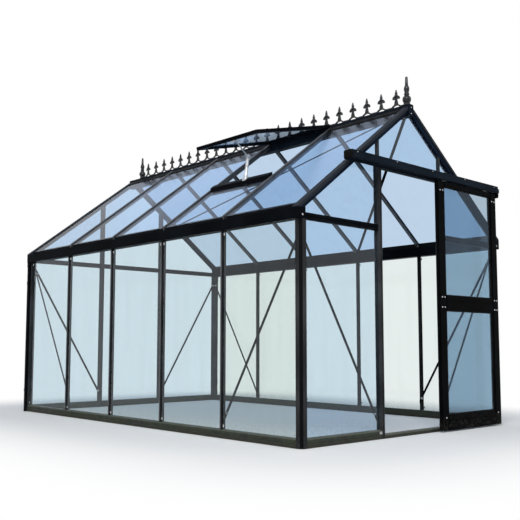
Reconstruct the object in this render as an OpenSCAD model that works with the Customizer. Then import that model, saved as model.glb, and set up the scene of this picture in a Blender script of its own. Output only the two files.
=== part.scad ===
// Victorian style greenhouse: a slim dark aluminium frame glazed on all sides. It has a low sill,
// box gutters, a ridge with a cast cresting and turned finials, a roof vent that stands open
// and a glazed door that hangs from a track and slides across the front gable.

/* [House] */
// Distance between the centres of two neighbouring glazing bars of a long side
bay_pitch = 745; // [640:5:840]
// Distance between the centres of the two posts in a gable
gable_pitch = 775; // [700:5:820]
// Number of bays along each long side
side_bays = 5; // [4:1:7]
// Extra length between the last module line and the outer face of a corner
end_margin = 60; // [50:1:90]
// Height of the gutters' undersides above the ground
eave_h = 1488; // [1350:2:1650]
// Slope of the roof in degrees
roof_pitch = 37; // [35:0.5:42]
// Thickness of the glass
glass_t = 4; // [3:0.5:6]

/* [Sill] */
// Height of the sill
sill_h = 62; // [45:1:90]
// Thickness of the sill
sill_t = 46; // [40:1:50]
// Height of the weathered slope along the sill's outer top edge
sill_slope = 9; // [4:1:11]
// Height of the groove along the sill's outer face
sill_groove = 6; // [3:1:12]
// Depth of the groove along the sill's outer face
sill_groove_d = 3; // [2:0.5:6]
// Height of that groove above the ground
sill_groove_z = 24; // [14:1:30]
// Height of the threshold in the doorway
threshold_h = 30; // [15:1:45]

/* [Posts and bars] */
// Side of the square corner posts
post_size = 52; // [44:1:60]
// Chamfer on the outer edge of a corner post
post_chamfer = 22; // [12:1:26]
// Step between the chamfer and the faces beside it
post_step = 3; // [1:0.5:6]
// Width of the outer cap of a glazing bar
bar_w = 26; // [18:1:36]
// Depth of a glazing bar from its outer face to its inner edge
bar_depth = 40; // [30:1:44]
// Thickness of the cap of a glazing bar
bar_cap = 8; // [5:1:12]
// Bevel along the edges of a glazing bar's cap
bar_bevel = 3; // [1:0.5:4]
// Thickness of the web of a glazing bar
bar_web = 10; // [6:1:14]
// Set-back of the side walls' glazing bars behind the corner posts' outer faces
bar_inset = 3; // [0:1:6]
// Width of the upright posts in the gables
gable_post_w = 30; // [24:1:44]
// Width of the studs that carry on above the door posts
stud_w = 20; // [14:1:26]
// Depth of those studs
stud_d = 24; // [16:1:40]
// Width of the slot along the outer and inner face of a gable post
slot_w = 9; // [5:1:14]
// Depth of that slot
slot_d = 12; // [4:1:16]
// Height of the tie bars across the gables
tie_h = 46; // [30:1:60]
// Thickness of the tie bars
tie_t = 30; // [16:1:36]
// Height of the groove along a tie bar
tie_groove = 9; // [4:1:14]
// Depth of the groove along a tie bar
tie_groove_d = 6; // [2:1:8]

/* [Gutters and roof] */
// Width of a gutter
gutter_w = 70; // [62:1:90]
// Height of a gutter's outer wall
gutter_h = 76; // [50:1:90]
// Thickness of a gutter's outer wall, floor and ends
gutter_wall = 4; // [3:0.5:8]
// Side of the square lip along the top of a gutter's outer wall
gutter_lip = 9; // [6:1:14]
// Overhang of a gutter past the corner posts
gutter_out = 23; // [12:1:40]
// Width of a gutter's inner wall, which carries the rafters
seat_w = 12; // [8:1:18]
// Height of the rafters' seat above the gutter's outer wall
seat_rise = 2; // [0:1:10]
// Overhang of the rafters past the inner wall of a gutter
rafter_overhang = 16; // [8:1:22]
// Depth of the gable rafters
gable_rafter_d = 47; // [42:1:60]
// Depth of the gable rafters' outer cap
gable_cap_d = 22; // [14:1:32]
// Step from the face of that cap back to the gable rafter's web
gable_step = 9; // [4:1:14]
// Width of the ridge beam
ridge_w = 52; // [48:1:70]
// Height of the ridge beam
ridge_h = 92; // [80:1:110]
// Bevel along the top edges of the ridge beam
ridge_bevel = 6; // [3:0.5:7]
// Thickness of the plates that close the ridge beam's ends
ridge_cap_t = 6; // [3:0.5:10]
// Distance that an end plate stands out around the ridge beam
ridge_cap_rim = 3; // [2:0.5:6]

/* [Downpipes] */
// Width of a downpipe along the wall
pipe_w = 36; // [28:1:40]
// Depth of a downpipe out from the corner post
pipe_d = 22; // [16:1:30]
// Distance from the back gable's face to a downpipe
pipe_in = 6; // [4:1:8]
// Bevel along the outer edges of a downpipe
pipe_bevel = 5; // [2:0.5:7]
// Thickness of a downpipe's wall, as it shows at the open foot
pipe_wall = 3; // [2:0.5:4]
// Depth of the open foot
pipe_bore = 90; // [40:5:140]
// Height of the straps that hold a downpipe
strap_high = 26; // [16:1:40]
// Distance that a strap stands out around the downpipe
strap_out = 2; // [1:0.5:3]
// Distance from the ground and from the gutter to the middle of a strap
strap_end = 210; // [150:5:400]

/* [Braces] */
// Width of the wind braces
brace_w = 20; // [12:1:30]
// Thickness of the wind braces
brace_t = 4; // [3:0.5:6]
// Distance from the eave and from the sill to the middle of a wall brace's end
brace_drop = 78; // [50:1:140]

/* [Cresting] */
// Distance between two small finials of the cresting
crest_pitch = 147.5; // [125:0.5:180]
// Distance from the front gable to the first small finial
crest_start = 135; // [110:1:170]
// Clear length of ridge behind the cresting
crest_tail = 190; // [150:5:300]
// Thickness of the cast cresting
crest_t = 10; // [6:1:16]
// Height of the cresting's strip
strip_h = 14; // [8:1:20]
// Radius of the arch under a small finial
arch_r = 60; // [50:1:70]
// Rise of the arch's crown above the ridge
arch_rise = 32; // [28:1:40]
// Width of the arch's rib
arch_rib = 12; // [8:1:16]
// Height of a small finial above its arch
fleur_h = 116; // [105:1:150]
// Width of a small finial's stem at its foot
stem_w = 38; // [26:1:46]
// Height of the flare at the stem's foot
stem_flare = 36; // [20:1:44]
// Width of the stem above the flare
neck_w = 19; // [12:0.5:22]
// Height of the side leaves' roots above the arch
leaf_z = 66; // [56:1:76]
// Length of a side leaf
leaf_l = 42; // [28:1:48]
// Width of a side leaf
leaf_w = 26; // [14:1:30]
// Angle between the spear and a side leaf, in degrees
leaf_turn = 126; // [90:1:140]
// Diameter of the boss between the side leaves
boss_d = 30; // [22:0.5:34]
// Diameter of the bud at the top
bud_d = 23; // [18:0.5:28]
// Height of the bud
bud_h = 48; // [40:1:60]
// Height of the bud's widest place above its foot
bud_swell = 19; // [12:1:26]
// Diameter of the bud's foot
bud_root_d = 15; // [8:0.5:17]
// Diameter of the bud's top
bud_tip_d = 8; // [3:0.5:12]

/* [Large finials] */
// Distance from the front gable to the centre of the front finial
finial_in = 34; // [32:1:45]
// Distance from the last small finial to the centre of the back finial
finial_gap = 115; // [90:1:140]
// Diameter of a large finial's round foot
finial_foot_d = 52; // [44:1:56]
// Height of that foot
finial_foot_h = 20; // [15:1:26]
// Diameter of the lower bulb
bulb_d = 63; // [52:1:70]
// Height of the lower bulb
bulb_h = 74; // [64:1:95]
// Number of ribs around the lower bulb
bulb_ribs = 10; // [6:2:16]
// Thickness of a rib
rib_t = 5; // [3:0.5:8]
// Distance that a rib stands out
rib_out = 2.5; // [1:0.5:4]
// Diameter of the middle bulb
mid_d = 44; // [38:1:50]
// Height of the middle bulb
mid_h = 80; // [66:1:100]
// Diameter of the tip
tip_d = 25; // [22:1:28]
// Height of the tip
tip_h = 74; // [60:1:90]
// Height of the tip's widest place above its foot
tip_swell = 18; // [12:1:26]
// Diameter of the tip's rounded end
tip_ball_d = 20; // [12:0.5:21]
// Length over which two neighbouring bulbs run into each other
bulb_lap = 14; // [8:1:20]
// Length of the waist between the lower and the middle bulb
waist_h = 20; // [8:1:30]
// Diameter of that waist
waist_d = 36; // [28:1:40]
// Diameter of the neck between the middle bulb and the tip
finial_neck_d = 19; // [14:1:22]
// Height of the ring around a waist
ring_h = 6; // [3:1:10]
// Distance that a ring stands out from its waist
ring_out = 4; // [2:0.5:7]

/* [Vent] */
// Length of the vent's sash from its hinge to its free edge
vent_l = 865; // [720:5:880]
// Angle of the open sash below level, in degrees
vent_drop = 13.5; // [4:0.5:20]
// Width of the sash's bars
vent_bar_w = 42; // [24:1:50]
// Thickness of the sash's bars
vent_bar_t = 28; // [16:1:28]
// Distance from the middle of the house to the bar under the vent's opening
vent_sill_x = 712; // [580:1:760]
// Width of that bar up the slope
vent_sill_w = 38; // [26:1:50]
// Depth of the bar's underside below the roof's outer plane
vent_sill_d = 36; // [24:1:38]
// Height of the kerb on that bar above the roof's outer plane
kerb_h = 18; // [8:1:26]
// Radius of the vent's hinge
hinge_r = 7; // [5:0.5:9]
// Distance of the hinge's middle below the top of the ridge
hinge_drop = 10; // [8:0.5:10]
// Radius of the vent opener's cylinder
opener_r = 13; // [8:0.5:18]
// Distance of the opener from the vent's middle toward the front
opener_off = 64; // [0:1:120]
// Distance that the cylinder leans toward the ridge
opener_lean = 28; // [10:1:90]
// Height of the cylinder's top above its bar
opener_rise = 200; // [150:1:215]
// Radius of the vent opener's arm
arm_r = 6; // [4:0.5:9]
// Width of the brackets at both ends of the opener
bracket_w = 42; // [28:1:60]
// Thickness of the opener's foot plate
foot_t = 6; // [4:0.5:10]
// Thickness of the bracket under the sash
bracket_t = 11; // [6:1:14]

/* [Door] */
// Width of the door
door_w = 840; // [820:5:920]
// Thickness of the door
door_t = 30; // [24:1:34]
// Gap between the gable and the door's back
door_gap = 37; // [36:1:44]
// Clearance under the door
door_z = 15; // [10:1:25]
// Gap between the door's top and the track
door_head_gap = 10; // [8:1:20]
// Width of the door's stiles
stile_w = 88; // [60:1:110]
// Width of the glazing bead along a stile
bead_w = 14; // [8:1:20]
// Set-back of the glazing bead behind the stile's face
bead_step = 6; // [3:1:10]
// Height of the door's top rail
top_rail_h = 36; // [30:1:80]
// Height of the door's middle rail
mid_rail_h = 114; // [95:1:130]
// Height of the middle rail's lower edge above the ground
mid_rail_z = 930; // [800:5:1100]
// Height of the groove above the middle rail's lower edge
mid_groove_z = 72; // [40:1:80]
// Height of the door's bottom rail
bottom_rail_h = 113; // [95:1:150]
// Height of the groove above the bottom rail's lower edge
bottom_groove_z = 64; // [40:1:80]
// Height of the grooves along the rails
rail_groove = 9; // [4:1:14]
// Depth of the grooves along the rails
rail_groove_d = 8; // [3:1:12]
// Distance that the door stands to the right of its closed place
door_open = 670; // [600:5:700]

/* [Track] */
// Height of the track's lower edge above the gutters' undersides
track_rise = 464; // [380:2:480]
// Height of the track
track_h = 60; // [60:1:90]
// Depth of the track
track_d = 82; // [80:1:95]
// Length of the track to the left of the house's middle
track_left = 785; // [740:1:860]
// Length of the track to the right of the house's middle
track_right = 1129; // [1120:1:1180]
// Thickness of the track's walls
track_wall = 5; // [4:0.5:5.5]
// Height of the lower, outer band of the track's face
fascia_h = 36; // [30:1:44]
// Step from that band back to the upper band
fascia_step = 9; // [4:1:14]
// Radius of the rounded lip under the track's face
lip_r = 8; // [6:0.5:10]
// Width of the ledge that the wheels roll on
ledge_w = 22; // [20:1:26]
// Height of the ledge's underside above the track's lower edge
ledge_rise = 12; // [6:1:12]
// Radius of the door's wheels
wheel_r = 16; // [12:0.5:16]
// Thickness of the door's wheels
wheel_t = 12; // [8:1:14]
// Distance of a wheel from the door's edge
wheel_in = 120; // [60:5:200]
// Gap between a wheel and the track's back
wheel_side_gap = 5; // [5:0.5:6]
// Gap between a wheel and the ledge under it
wheel_gap = 0.3; // [0.2:0.1:0.5]
// Width of the hangers that carry the door
hanger_w = 60; // [40:1:90]
// Thickness of the hangers
hanger_t = 6; // [4:0.5:8]
// Gap between the ledge's edge and a hanger
hanger_gap = 9; // [6:1:14]
// Radius of a wheel's axle
axle_r = 5; // [3:0.5:7]

/* [Hidden] */

frame_color = [0.07, 0.08, 0.09];
sill_color = [0.12, 0.13, 0.12];
glass_color = [0.75, 0.85, 0.9, 0.3];
steel_color = [0.72, 0.73, 0.74];
wheel_color = [0.2, 0.2, 0.2];
round_fn = 48;
arc_fn = 96;

// Overall plan, with the track at the front and the ridge's end plate at the back in the depth
house_w = 3 * gable_pitch + 2 * end_margin;
house_l = side_bays * bay_pitch + 2 * end_margin;
half_w = house_w / 2;
y_front = (track_d - ridge_cap_t - house_l) / 2;
y_back = y_front + house_l;

// Inner and outer edge of a gable post
post_x0 = (gable_pitch - gable_post_w) / 2;
post_x1 = (gable_pitch + gable_post_w) / 2;
// Inner and outer edge of a stud above a door post
stud_x0 = (gable_pitch - stud_w) / 2;
stud_x1 = (gable_pitch + stud_w) / 2;

// Gutter and roof planes
gutter_x_out = half_w + gutter_out;
gutter_x_in = gutter_x_out - gutter_w;
gutter_z = eave_h + gutter_h;
seat_x = gutter_x_in + seat_w;
rafter_x = seat_x + rafter_overhang;
ridge_x = ridge_w / 2;
apex_z = gutter_z + seat_rise + along_roof(bar_depth) + seat_x * tan(roof_pitch);
ridge_z = apex_z - ridge_h;
track_z = eave_h + track_rise;
head_z = track_z + tie_h;

// Vertical measure of a depth square to the roof
function along_roof(d) = d / cos(roof_pitch);
// Height of the roof's outer plane at a distance from the house's middle, less a depth
function roof_z(x, d = 0) = apex_z - abs(x) * tan(roof_pitch) - along_roof(d);
// Place along the house of glazing bar number i, counted from the back
function bar_y(i) = y_back - end_margin - i * bay_pitch;
// Front and back edge of pane number i, counted from the back
function pane_y0(i) = i == side_bays - 1 ? y_front + post_size : bar_y(i + 1) + bar_web / 2;
function pane_y1(i) = i == 0 ? y_back - post_size : bar_y(i) - bar_web / 2;

// Extrudes a shape drawn in X and Z along Y
module along_y(y0, y1) {
  translate([0, y1, 0]) rotate([90, 0, 0]) linear_extrude(y1 - y0) children();
}

// Extrudes a shape drawn in Y and Z along X
module along_x(x0, x1) {
  translate([x0, 0, 0]) rotate([90, 0, 90]) linear_extrude(x1 - x0) children();
}

module box(x0, x1, y0, y1, z0, z1) {
  translate([x0, y0, z0]) cube([x1 - x0, y1 - y0, z1 - z0]);
}

module mirrored_x() {
  children();
  mirror([1, 0, 0]) children();
}

// A plate parallel to the left roof slope, between two distances from the middle and two depths
module slope_plate(x_low, x_high, d_top, d_under, y0, y1) {
  along_y(y0, y1) polygon([
    [-x_low, roof_z(x_low, d_under)],
    [-x_high, roof_z(x_high, d_under)],
    [-x_high, roof_z(x_high, d_top)],
    [-x_low, roof_z(x_low, d_top)]
  ]);
}

// Base of the walls

// Section of the sill with its outer face at zero
module sill_profile() {
  difference() {
    polygon([[0, 0], [sill_t, 0], [sill_t, sill_h], [sill_slope, sill_h], [0, sill_h - sill_slope]]);
    translate([0, sill_groove_z]) square([sill_groove_d, sill_groove]);
  }
}

module side_sill() {
  along_y(y_front + post_size, y_back - post_size) translate([-half_w, 0]) sill_profile();
}

module front_sill(x0, x1) {
  along_x(x0, x1) translate([y_front, 0]) sill_profile();
}

module back_sill(x0, x1) {
  along_x(x0, x1) translate([y_back, 0]) mirror([1, 0]) sill_profile();
}

module sill_left() { color(sill_color) side_sill(); }
module sill_right() { color(sill_color) mirror([1, 0, 0]) side_sill(); }
module sill_front() { color(sill_color) mirrored_x() front_sill(-half_w + post_size, -post_x1); }

module sill_back() {
  color(sill_color) {
    mirrored_x() back_sill(-half_w + post_size, -post_x1);
    back_sill(-post_x0, post_x0);
  }
}

module threshold() {
  color(sill_color) along_x(-post_x0, post_x0) polygon([
    [y_front, 0], [y_front + post_size, 0], [y_front + post_size, threshold_h],
    [y_front + sill_slope, threshold_h], [y_front, threshold_h - sill_slope]
  ]);
}

// Uprights

module corner_post() {
  linear_extrude(eave_h) polygon([
    [post_chamfer, 0], [post_size, 0], [post_size, post_size], [0, post_size],
    [0, post_chamfer], [post_step, post_chamfer], [post_chamfer, post_step]
  ]);
}

module corner_posts() {
  color(frame_color) mirrored_x() {
    translate([-half_w, y_front, 0]) corner_post();
    translate([-half_w, y_back, 0]) mirror([0, 1, 0]) corner_post();
  }
}

// Section of a glazing bar: a bevelled cap with its outer face at zero, and a web behind it
module bar_profile() {
  cap = bar_w / 2;
  web = bar_web / 2;
  polygon([
    [0, bar_bevel - cap], [bar_bevel, -cap], [bar_cap, -cap], [bar_cap, -web], [bar_depth, -web],
    [bar_depth, web], [bar_cap, web], [bar_cap, cap], [bar_bevel, cap], [0, cap - bar_bevel]
  ]);
}

module side_bars() {
  for (i = [1 : side_bays - 1])
    translate([-half_w + bar_inset, bar_y(i), sill_h]) linear_extrude(eave_h - sill_h) bar_profile();
}

module side_bars_left() { color(frame_color) side_bars(); }
module side_bars_right() { color(frame_color) mirror([1, 0, 0]) side_bars(); }

// An upright in a gable, between two distances from the middle, cut off under the gable rafter
module upright(x0, x1, y0, y1, z0) {
  along_y(y0, y1) polygon([
    [-x1, z0], [-x0, z0], [-x0, roof_z(x0, gable_rafter_d)], [-x1, roof_z(x1, gable_rafter_d)]
  ]);
}

// The slots along the outer and the inner face of a gable post
module post_slots(y0) {
  slot_x = (post_x0 + post_x1 - slot_w) / 2;
  for (y1 = [y0, y0 + post_size - slot_d])
    box(-slot_x - slot_w, -slot_x, y1, y1 + slot_d, 0, apex_z);
}

// A post beside the doorway, with a slimmer stud on it above the door's head
module door_post() {
  difference() {
    box(-post_x1, -post_x0, y_front, y_front + post_size, 0, head_z);
    post_slots(y_front);
  }
  upright(stud_x0, stud_x1, front_tie_y - stud_d / 2, front_tie_y + stud_d / 2, head_z);
}

module back_post() {
  difference() {
    upright(post_x0, post_x1, y_back - post_size, y_back, 0);
    post_slots(y_back - post_size);
  }
}

module door_posts() { color(frame_color) mirrored_x() door_post(); }
module back_posts() { color(frame_color) mirrored_x() back_post(); }

// A bar across a gable with a groove along its outer and inner face
module tie_bar(x0, x1, y_mid, z0) {
  groove_z = z0 + (tie_h - tie_groove) / 2;
  difference() {
    box(x0, x1, y_mid - tie_t / 2, y_mid + tie_t / 2, z0, z0 + tie_h);
    for (y0 = [y_mid - tie_t / 2, y_mid + tie_t / 2 - tie_groove_d])
      box(x0, x1, y0, y0 + tie_groove_d, groove_z, groove_z + tie_groove);
  }
}

front_tie_y = y_front + post_size / 2;
back_tie_y = y_back - post_size / 2;

module front_ties() {
  color(frame_color) mirrored_x() tie_bar(-gutter_x_in, -post_x1, front_tie_y, eave_h);
}

module back_ties() {
  color(frame_color) {
    mirrored_x() tie_bar(-gutter_x_in, -post_x1, back_tie_y, eave_h);
    tie_bar(-post_x0, post_x0, back_tie_y, eave_h);
  }
}

// The bar over the doorway, behind the track
module door_head() { color(frame_color) tie_bar(-post_x0, post_x0, front_tie_y, track_z); }

// Roof

module gutter() {
  difference() {
    along_y(y_front, y_back) polygon([
      [-gutter_x_out, eave_h], [-gutter_x_in, eave_h],
      [-gutter_x_in, roof_z(gutter_x_in, bar_depth)], [-seat_x, roof_z(seat_x, bar_depth)],
      [-seat_x, gutter_z], [-gutter_x_out, gutter_z]
    ]);
    along_y(y_front + gutter_wall, y_back - gutter_wall) polygon([
      [-gutter_x_out + gutter_wall, eave_h + gutter_wall], [-seat_x, eave_h + gutter_wall],
      [-seat_x, gutter_z], [-gutter_x_out + gutter_lip, gutter_z],
      [-gutter_x_out + gutter_lip, gutter_z - gutter_lip],
      [-gutter_x_out + gutter_wall, gutter_z - gutter_lip]
    ]);
  }
}

module gutter_left() { color(frame_color) gutter(); }
module gutter_right() { color(frame_color) mirror([1, 0, 0]) gutter(); }

// Section of a downpipe against the left back corner post, grown on its three free sides
module pipe_section(grow) {
  x0 = -half_w - pipe_d - grow;
  y0 = y_back - pipe_in - pipe_w - grow;
  y1 = y_back - pipe_in + grow;
  polygon([
    [-half_w, y0], [-half_w, y1], [x0 + pipe_bevel, y1],
    [x0, y1 - pipe_bevel], [x0, y0 + pipe_bevel], [x0 + pipe_bevel, y0]
  ]);
}

// A downpipe with an open foot and two straps, from the ground up to the gutter
module downpipe() {
  difference() {
    linear_extrude(eave_h) pipe_section(0);
    linear_extrude(pipe_bore) offset(delta = -pipe_wall) pipe_section(0);
  }
  for (z = [strap_end, eave_h - strap_end])
    translate([0, 0, z - strap_high / 2]) linear_extrude(strap_high) pipe_section(strap_out);
}

module downpipes() { color(frame_color) mirrored_x() downpipe(); }

// A glazing bar laid up the left slope and cut upright at the gutter and at the ridge
module rafter(y) {
  foot_x = rafter_x + bar_depth;
  intersection() {
    translate([-foot_x, y, roof_z(foot_x)]) rotate([0, 90 - roof_pitch, 0])
      linear_extrude(along_roof(foot_x)) bar_profile();
    box(-rafter_x, -ridge_x, y - bar_w, y + bar_w, eave_h, apex_z);
  }
}

module rafters() {
  for (i = [1 : side_bays - 1]) rafter(bar_y(i));
}

module rafters_left() { color(frame_color) rafters(); }
module rafters_right() { color(frame_color) mirror([1, 0, 0]) rafters(); }

// A gable rafter: a deep web with a cap that steps out over the gable and ends on the gutter
module gable_rafter(web_y0, web_y1, cap_y0, cap_y1) {
  along_y(cap_y0, cap_y1) polygon([
    [-gutter_x_out, roof_z(gutter_x_out)], [-ridge_x, roof_z(ridge_x)],
    [-ridge_x, roof_z(ridge_x, gable_cap_d)], [-seat_x, roof_z(seat_x, gable_cap_d)],
    [-seat_x, gutter_z], [-gutter_x_out, gutter_z]
  ]);
  along_y(web_y0, web_y1) polygon([
    [-seat_x, roof_z(seat_x)], [-ridge_x, roof_z(ridge_x)],
    [-ridge_x, roof_z(ridge_x, gable_rafter_d)],
    [-gutter_x_in, roof_z(gutter_x_in, gable_rafter_d)],
    [-gutter_x_in, roof_z(gutter_x_in, bar_depth)],
    [-seat_x, roof_z(seat_x, bar_depth)]
  ]);
}

module front_gable_rafters() {
  y1 = y_front + post_size;
  color(frame_color) mirrored_x() gable_rafter(y_front + gable_step, y1, y_front, y1);
}

module back_gable_rafters() {
  y0 = y_back - post_size;
  color(frame_color) mirrored_x() gable_rafter(y0, y_back - gable_step, y0, y_back);
}

module ridge_profile(rim) {
  x1 = ridge_x + rim;
  polygon([
    [-x1, ridge_z - rim], [x1, ridge_z - rim], [x1, apex_z - ridge_bevel],
    [x1 - ridge_bevel, apex_z], [ridge_bevel - x1, apex_z], [-x1, apex_z - ridge_bevel]
  ]);
}

module ridge_beam() {
  color(frame_color) {
    along_y(y_front, y_back) ridge_profile(0);
    along_y(y_front - ridge_cap_t, y_front) ridge_profile(ridge_cap_rim);
    along_y(y_back, y_back + ridge_cap_t) ridge_profile(ridge_cap_rim);
  }
}

// Cresting

crest_count = floor((house_l - crest_start - crest_tail) / crest_pitch) + 1;
function fleur_y(i) = y_front + crest_start + i * crest_pitch;
crest_y0 = y_front + finial_in;
crest_y1 = fleur_y(crest_count - 1) + finial_gap;

// A pointed leaf between two arcs, standing on the origin
module leaf(w, h) {
  r = (h * h + w * w) / (4 * w);
  intersection() {
    translate([r - w / 2, h / 2]) circle(r, $fn = arc_fn);
    translate([w / 2 - r, h / 2]) circle(r, $fn = arc_fn);
  }
}

// The bud at the top of a small finial, widest below its middle
module bud() {
  cylinder(d1 = bud_root_d, d2 = bud_d, h = bud_swell, $fn = round_fn);
  translate([0, 0, bud_swell]) cylinder(d1 = bud_d, d2 = bud_tip_d, h = bud_h - bud_swell, $fn = round_fn);
}

// The flat part of one small finial: a flared stem and two drooping side leaves
module fleur_outline() {
  polygon([
    [-stem_w / 2, -arch_rib / 2], [stem_w / 2, -arch_rib / 2], [neck_w / 2, stem_flare],
    [neck_w / 2, fleur_h - bud_h / 2], [-neck_w / 2, fleur_h - bud_h / 2], [-neck_w / 2, stem_flare]
  ]);
  for (side = [-1, 1]) translate([0, leaf_z]) rotate(side * leaf_turn) leaf(leaf_w, leaf_l);
}

// Ridge strip with a low arch under each small finial, drawn in Y and Z
module crest_outline() {
  arch_z = arch_rise - arch_r;
  difference() {
    union() {
      translate([crest_y0 + finial_foot_d / 2, 0])
        square([crest_y1 - crest_y0 - finial_foot_d, strip_h]);
      for (i = [0 : crest_count - 1])
        translate([fleur_y(i), arch_z]) intersection() {
          circle(arch_r, $fn = arc_fn);
          translate([-arch_r, -arch_z]) square([2 * arch_r, arch_r]);
        }
    }
    for (i = [0 : crest_count - 1])
      translate([fleur_y(i), arch_z]) circle(arch_r - arch_rib, $fn = arc_fn);
  }
  for (i = [0 : crest_count - 1]) translate([fleur_y(i), arch_rise]) fleur_outline();
}

module ridge_cresting() {
  color(frame_color) translate([0, 0, apex_z]) {
    along_x(-crest_t / 2, crest_t / 2) crest_outline();
    for (i = [0 : crest_count - 1]) translate([0, fleur_y(i), arch_rise]) {
      translate([0, 0, leaf_z]) sphere(d = boss_d, $fn = round_fn);
      translate([0, 0, fleur_h - bud_h]) bud();
    }
  }
}

// Heights of a large finial's pieces above its foot
bulb_z = finial_foot_h / 2;
mid_z = bulb_z + bulb_h + waist_h - bulb_lap;
tip_z = mid_z + mid_h - bulb_lap;

// Half the outline of a bulb, with one arc on its side
module bulb_outline(d, h) {
  r = d / 2;
  arc_r = (h * h / 4 + r * r) / (2 * r);
  intersection() {
    translate([r - arc_r, h / 2]) circle(arc_r, $fn = arc_fn);
    square([r, h]);
  }
}

// Half the outline of a neck between heights z0 and z1, with a ring around its middle
module waist_outline(d, z0, z1) {
  translate([0, z0 - bulb_lap / 2]) square([d / 2, z1 - z0 + bulb_lap]);
  translate([0, (z0 + z1 - ring_h) / 2]) square([d / 2 + ring_out, ring_h]);
}

// Half the outline of the tip: a slim taper with a rounded end
module tip_outline() {
  ball_r = tip_ball_d / 2;
  ball_z = tip_h - ball_r;
  intersection() {
    union() {
      polygon([[0, 0], [tip_d / 2, tip_swell], [ball_r, ball_z], [0, ball_z]]);
      translate([0, ball_z]) circle(ball_r, $fn = round_fn);
    }
    square([tip_d, tip_h]);
  }
}

module finial_outline() {
  square([finial_foot_d / 2, finial_foot_h]);
  square([waist_d / 2, finial_foot_h + bulb_lap]);
  translate([0, bulb_z]) bulb_outline(bulb_d, bulb_h);
  waist_outline(waist_d, bulb_z + bulb_h - bulb_lap, mid_z + bulb_lap);
  translate([0, mid_z]) bulb_outline(mid_d, mid_h);
  waist_outline(finial_neck_d, tip_z, tip_z + bulb_lap);
  translate([0, tip_z]) tip_outline();
}

// A rib that stands out of the lower bulb
module bulb_rib() {
  intersection() {
    translate([0, rib_t / 2, bulb_z]) rotate([90, 0, 0]) linear_extrude(rib_t)
      bulb_outline(bulb_d + 2 * rib_out, bulb_h);
    translate([waist_d / 2, -rib_t, bulb_z + bulb_lap]) cube([bulb_d, 2 * rib_t, bulb_h - 2 * bulb_lap]);
  }
}

// A large turned finial: a round foot, a ribbed bulb, a slim bulb and a tall tip
module finial() {
  rotate_extrude($fn = round_fn) finial_outline();
  for (i = [0 : bulb_ribs - 1]) rotate(i * 360 / bulb_ribs) bulb_rib();
}

module front_finial() { color(frame_color) translate([0, crest_y0, apex_z]) finial(); }
module back_finial() { color(frame_color) translate([0, crest_y1, apex_z]) finial(); }

// Wind braces

// A flat bar drawn in the plane of a wall, cut upright at both ends
module brace_shape(u0, v0, u1, v1) {
  rise = brace_w / cos(atan2(v1 - v0, u1 - u0));
  polygon([[u0, v0 - rise / 2], [u1, v1 - rise / 2], [u1, v1 + rise / 2], [u0, v0 + rise / 2]]);
}

// A brace in an end bay: from the top of the corner to the foot of the next upright
module bay_brace(u_corner, u_foot) {
  brace_shape(u_corner, eave_h - brace_drop, u_foot, sill_h + brace_drop);
}

module wall_braces() {
  x0 = -half_w + bar_inset + bar_depth;
  along_x(x0, x0 + brace_t) {
    bay_brace(y_front + post_size, bar_y(side_bays - 1) + bar_web / 2);
    mirror([1, 0]) bay_brace(post_size - y_back, bar_web / 2 - bar_y(1));
  }
}

module side_braces() { color(frame_color) mirrored_x() wall_braces(); }

module gable_brace(y0) {
  along_y(y0, y0 + brace_t) bay_brace(-half_w + post_size, -post_x1);
}

module gable_braces() {
  color(frame_color) mirrored_x() {
    gable_brace(y_front + post_size - brace_t);
    gable_brace(y_back - post_size);
  }
}

// Under the rafters of a slope, from the ridge at the front down to the eave two bays back
module roof_brace() {
  y0 = y_front + post_size;
  y1 = bar_y(side_bays - 2);
  run = norm([gutter_x_in - ridge_x, y1 - y0]);
  wide = brace_w * run / (gutter_x_in - ridge_x);
  intersection() {
    slope_plate(gutter_x_in, ridge_x, bar_depth, bar_depth + brace_t, y0, y1);
    translate([0, 0, eave_h]) linear_extrude(apex_z - eave_h) polygon([
      [-ridge_x, y0], [-ridge_x, y0 + wide], [-gutter_x_in, y1], [-gutter_x_in, y1 - wide]
    ]);
  }
}

module roof_braces() { color(frame_color) mirrored_x() roof_brace(); }

// Glass

module side_glass() {
  x0 = -half_w + bar_inset + bar_cap;
  for (i = [0 : side_bays - 1])
    box(x0, x0 + glass_t, pane_y0(i), pane_y1(i), sill_h, eave_h);
}

module side_glass_left() { color(glass_color) side_glass(); }
module side_glass_right() { color(glass_color) mirror([1, 0, 0]) side_glass(); }

vent_bay = side_bays - 2;
vent_sill_low = vent_sill_x + vent_sill_w / 2;
vent_sill_high = vent_sill_x - vent_sill_w / 2;

module roof_pane(i, x_high) {
  slope_plate(rafter_x, x_high, bar_cap, bar_cap + glass_t, pane_y0(i), pane_y1(i));
}

module roof_glass_left() {
  color(glass_color) for (i = [0 : side_bays - 1])
    roof_pane(i, i == vent_bay ? vent_sill_low : ridge_x);
}

module roof_glass_right() {
  color(glass_color) mirror([1, 0, 0]) for (i = [0 : side_bays - 1]) roof_pane(i, ridge_x);
}

// Panes of a gable's outer bay, below and above the tie. The upper one has the given inner edge.
module gable_side_panes(y0, inner_edge) {
  box(-half_w + post_size, -post_x1, y0, y0 + glass_t, sill_h, eave_h);
  along_y(y0, y0 + glass_t) polygon(concat(
    [[-gutter_x_in, eave_h + tie_h], [-post_x1, eave_h + tie_h]], inner_edge,
    [[-gutter_x_in, roof_z(gutter_x_in, gable_rafter_d)]]
  ));
}

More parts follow.
